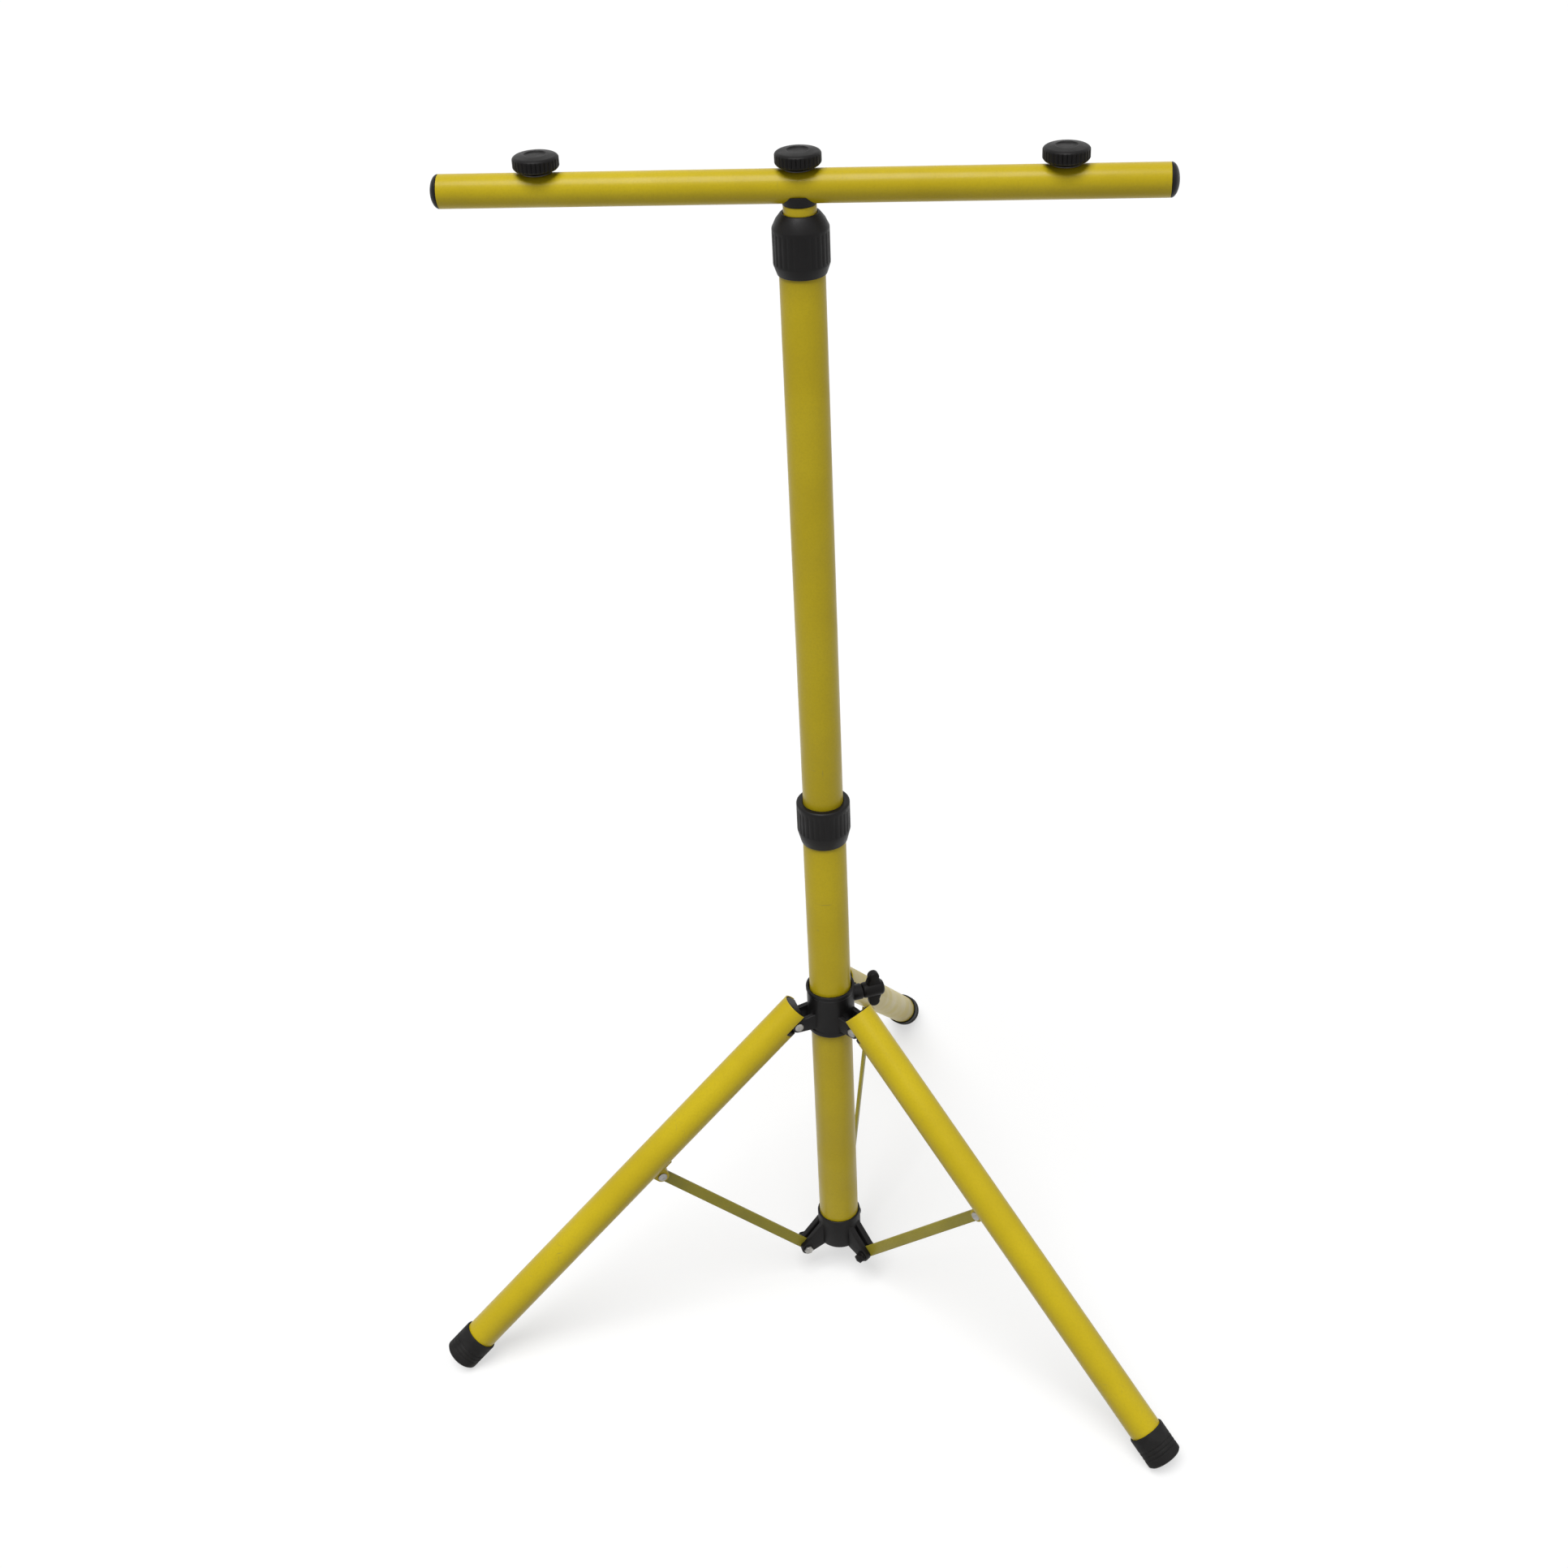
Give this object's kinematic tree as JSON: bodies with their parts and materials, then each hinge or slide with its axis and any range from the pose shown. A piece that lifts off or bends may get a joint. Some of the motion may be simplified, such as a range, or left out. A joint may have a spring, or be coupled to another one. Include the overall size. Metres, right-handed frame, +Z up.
{
  "type": "spotlight tripod",
  "caption": "Telescopic tripod stand for work lights: folding legs with struts, a twist-lock mast and a T-bar with clamping knobs for the lamps.",
  "frame": {"origin": "on the floor, at the centre of the stand's plan box in the pictured pose", "axes": "+Z up along the mast, X along the crossbar, and the camera of the picture on the -Y side"},
  "size_m": [0.693, 0.6482, 1.1277],
  "materials": {
    "yellow_paint": "semi-gloss yellow powder coat",
    "strut_paint": "satin yellow-olive paint on flat steel",
    "black_plastic": "moulded black plastic with a slight sheen",
    "rubber": "matt black rubber",
    "steel": "zinc plated"
  },
  "bodies": {
    "base": {"spider": "black_plastic", "base_tube": "yellow_paint", "base_ferrule": "black_plastic", "spider_bolt_1": "steel", "spider_nut_1": "black_plastic", "spider_bolt_2": "steel", "spider_nut_2": "black_plastic", "spider_bolt_3": "steel", "spider_nut_3": "black_plastic"},
    "mid_collar": {"mid_collar": "black_plastic"},
    "middle": {"middle_tube": "yellow_paint", "middle_tube_guide": "black_plastic", "middle_ferrule": "black_plastic"},
    "top_collar": {"top_collar": "black_plastic"},
    "inner_guide": {"inner_tube_guide": "black_plastic"},
    "mast_top": {"inner_tube": "yellow_paint", "bar_saddle": "black_plastic", "centre_nut": "steel", "crossbar_tube": "yellow_paint", "bar_plug_left": "black_plastic", "bar_plug_right": "black_plastic", "seat_nut_left": "steel", "seat_nut_right": "steel", "centre_washer": "steel", "lamp_washer_left": "steel", "lamp_washer_right": "steel"},
    "centre_knob": {"centre_knob": "black_plastic", "centre_knob_stud": "steel"},
    "lamp_knob_left": {"lamp_knob_left": "black_plastic", "lamp_knob_left_stud": "steel"},
    "lamp_knob_right": {"lamp_knob_right": "black_plastic", "lamp_knob_right_stud": "steel"},
    "hub": {"hub_collar": "black_plastic", "leg_pin_1": "steel", "leg_pin_2": "steel", "leg_pin_3": "steel"},
    "wing_knob": {"wing_knob": "black_plastic", "clamp_screw": "steel"},
    "leg_1": {"leg_tube_1": "yellow_paint", "leg_plug_1": "black_plastic", "foot_cap_1": "rubber", "strut_bracket_1": "yellow_paint", "bracket_pin_1": "steel"},
    "leg_2": {"leg_tube_2": "yellow_paint", "leg_plug_2": "black_plastic", "foot_cap_2": "rubber", "strut_bracket_2": "yellow_paint", "bracket_pin_2": "steel"},
    "leg_3": {"leg_tube_3": "yellow_paint", "leg_plug_3": "black_plastic", "foot_cap_3": "rubber", "strut_bracket_3": "yellow_paint", "bracket_pin_3": "steel"},
    "strut_1": {"strut_1": "strut_paint"},
    "strut_2": {"strut_2": "strut_paint"},
    "strut_3": {"strut_3": "strut_paint"}
  },
  "joints": [
    {"name": "leg_fold", "type": "hinge", "parent": "base", "child": "strut_1", "pos_m": [-0.00837, -0.08634, 0.0363], "axis": [-0.3827, 0.9239, 0], "range_deg": [0, 43.7]},
    {"name": "strut_2_fold", "type": "hinge", "parent": "base", "child": "strut_2", "pos_m": [0.0531, -0.09443, 0.0363], "axis": [-0.6088, -0.7934, 0], "range_deg": [0, 43.7]},
    {"name": "strut_3_fold", "type": "hinge", "parent": "base", "child": "strut_3", "pos_m": [0.02937, -0.03714, 0.0363], "axis": [0.9914, -0.1305, 0], "range_deg": [0, 43.7]},
    {"name": "leg_1_on_strut", "type": "hinge", "parent": "strut_1", "child": "leg_1", "pos_m": [-0.13709, -0.13966, 0.17894], "axis": [-0.3827, 0.9239, 0], "range_deg": [-89.5, 0]},
    {"name": "leg_2_on_strut", "type": "hinge", "parent": "strut_2", "child": "leg_2", "pos_m": [0.16364, -0.17925, 0.17894], "axis": [-0.6088, -0.7934, 0], "range_deg": [-89.5, 0]},
    {"name": "leg_3_on_strut", "type": "hinge", "parent": "strut_3", "child": "leg_3", "pos_m": [0.04756, 0.10099, 0.17894], "axis": [0.9914, -0.1305, 0], "range_deg": [-89.5, 0]},
    {"name": "hub_on_leg", "type": "hinge", "parent": "leg_1", "child": "hub", "pos_m": [-0.00763, -0.08603, 0.3268], "axis": [-0.3827, 0.9239, 0], "range_deg": [0, 43]},
    {"name": "wing_knob_turn", "type": "hinge", "parent": "hub", "child": "wing_knob", "pos_m": [0.06166, -0.05733, 0.343], "axis": [0.9239, 0.3827, 0], "continuous": true},
    {"name": "mid_collar_twist", "type": "hinge", "parent": "base", "child": "mid_collar", "pos_m": [0.0247, -0.07264, 0.544], "axis": [0, 0, 1], "range_deg": [0, 180]},
    {"name": "middle_slide", "type": "slide", "parent": "base", "child": "middle", "axis": [0, 0, 1], "range_m": [-0.43, 0]},
    {"name": "top_collar_twist", "type": "hinge", "parent": "middle", "child": "top_collar", "pos_m": [0.0247, -0.07264, 1.059], "axis": [0, 0, 1], "range_deg": [0, 180]},
    {"name": "inner_slide", "type": "slide", "parent": "middle", "child": "inner_guide", "axis": [0, 0, 1], "range_m": [-0.005, 0.4]},
    {"name": "crossbar_swivel", "type": "hinge", "parent": "inner_guide", "child": "mast_top", "pos_m": [0.0247, -0.07264, 1.088], "axis": [0, 0, 1], "continuous": true},
    {"name": "centre_knob_turn", "type": "hinge", "parent": "mast_top", "child": "centre_knob", "pos_m": [0.0247, -0.07264, 1.12], "axis": [0, 0, 1], "continuous": true},
    {"name": "lamp_knob_left_turn", "type": "hinge", "parent": "mast_top", "child": "lamp_knob_left", "pos_m": [-0.1673, -0.07264, 1.12], "axis": [0, 0, 1], "continuous": true},
    {"name": "lamp_knob_right_turn", "type": "hinge", "parent": "mast_top", "child": "lamp_knob_right", "pos_m": [0.2167, -0.07264, 1.12], "axis": [0, 0, 1], "continuous": true}
  ],
  "couplings": [
    {"joint": "strut_2_fold", "follows": "leg_fold", "ratio": 1},
    {"joint": "strut_3_fold", "follows": "leg_fold", "ratio": 1},
    {"joint": "leg_1_on_strut", "follows": "leg_fold", "ratio": -1.9742},
    {"joint": "leg_2_on_strut", "follows": "leg_fold", "ratio": -1.9742},
    {"joint": "leg_3_on_strut", "follows": "leg_fold", "ratio": -1.9742},
    {"joint": "hub_on_leg", "follows": "leg_fold", "ratio": 0.97418}
  ]
}
